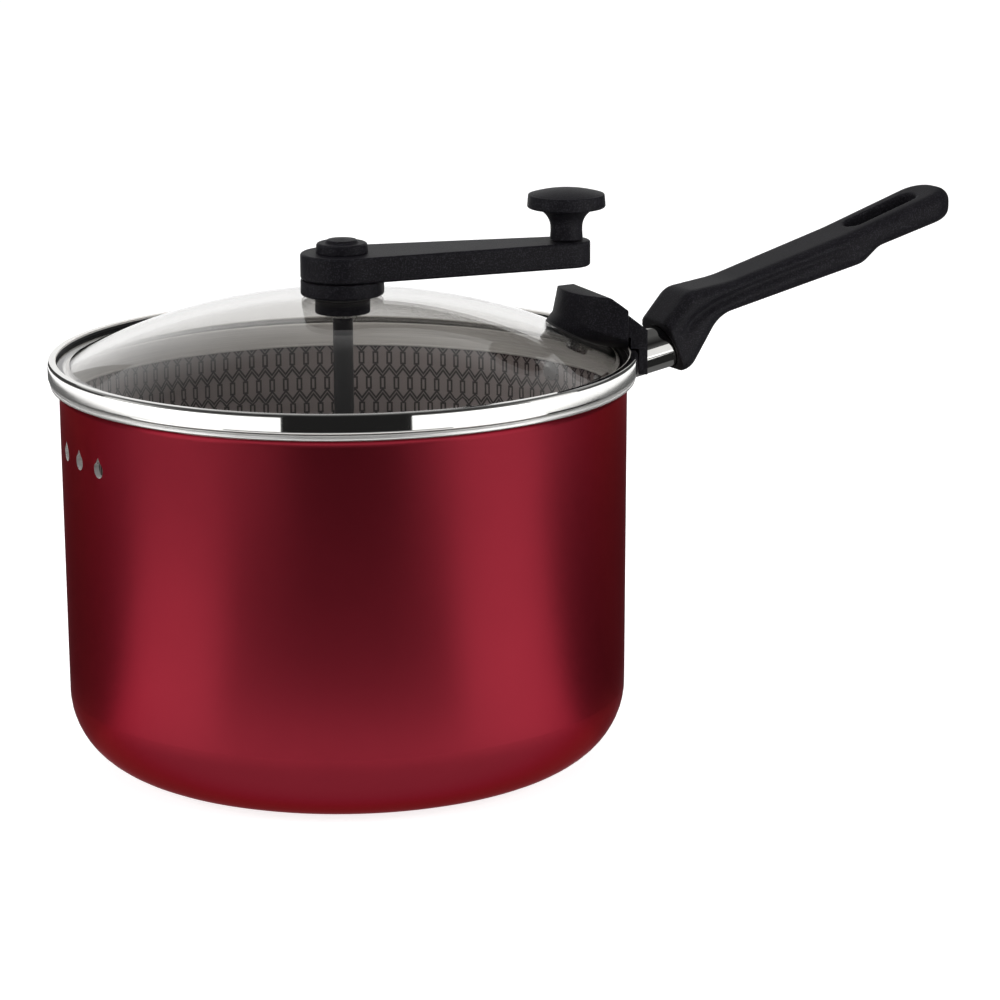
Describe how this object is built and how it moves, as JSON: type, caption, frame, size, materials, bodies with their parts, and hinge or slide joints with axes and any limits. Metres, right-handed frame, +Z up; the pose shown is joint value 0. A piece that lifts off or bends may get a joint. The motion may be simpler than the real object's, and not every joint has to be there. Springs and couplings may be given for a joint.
{
  "type": "stovetop popcorn popper",
  "caption": "Covered aluminium pot with a long handle; its glass lid carries a hand crank that turns a wire stirrer over the floor, steam vents in the wall and a latch over the handle.",
  "frame": {"origin": "middle of the pot's flat underside", "axes": "+X along the pot's handle, +Z up along the pot's and the crank's axis"},
  "size_m": [0.3726, 0.2116, 0.2037],
  "materials": {
    "red_aluminium": "satin coloured enamel over drawn aluminium",
    "aluminium": "satin",
    "polished_steel": "mirror polished stainless steel",
    "steel": "brushed",
    "black_steel": "satin black baked coat over steel",
    "phenolic": "fine matt moulded phenolic",
    "glass": "clear tempered glass",
    "silicone": "matt black silicone"
  },
  "bodies": {
    "pot": {"pot_body": "red_aluminium", "handle_bracket": "steel", "handle_rivets": "aluminium", "handle_ferrule": "polished_steel", "handle_tang": "steel", "handle_grip": "phenolic", "grip_screw": "steel"},
    "lid": {"lid_glass": "glass", "lid_band": "polished_steel", "lid_gasket": "silicone", "hub_bush": "phenolic", "hub_grommet": "silicone", "hub_washer": "black_steel", "hub_nut": "phenolic", "latch_cover": "phenolic", "latch_shoe": "phenolic", "latch_pad": "silicone", "latch_screw": "steel", "latch_washer": "steel"},
    "crank": {"crank_arm": "phenolic", "crank_cap": "phenolic", "crank_screw": "steel", "stirrer_shaft": "black_steel", "shaft_clip": "steel", "stirrer_boss": "aluminium", "stirrer_pin": "steel", "stirrer_long_wire": "steel", "stirrer_short_wire": "steel", "knob_pin": "steel", "pin_washer": "steel"},
    "knob": {"knob_grip": "phenolic", "knob_cap": "phenolic"}
  },
  "joints": [
    {"name": "lid_lift", "type": "slide", "parent": "pot", "child": "lid", "axis": [0, 0, 1], "range_m": [0, 0.155]},
    {"name": "crank_spin", "type": "hinge", "parent": "lid", "child": "crank", "pos_m": [0, 0, 0.175], "axis": [0, 0, 1], "continuous": true},
    {"name": "knob_spin", "type": "hinge", "parent": "crank", "child": "knob", "pos_m": [0.08129, -0.02117, 0.195], "axis": [0, 0, 1], "continuous": true}
  ]
}
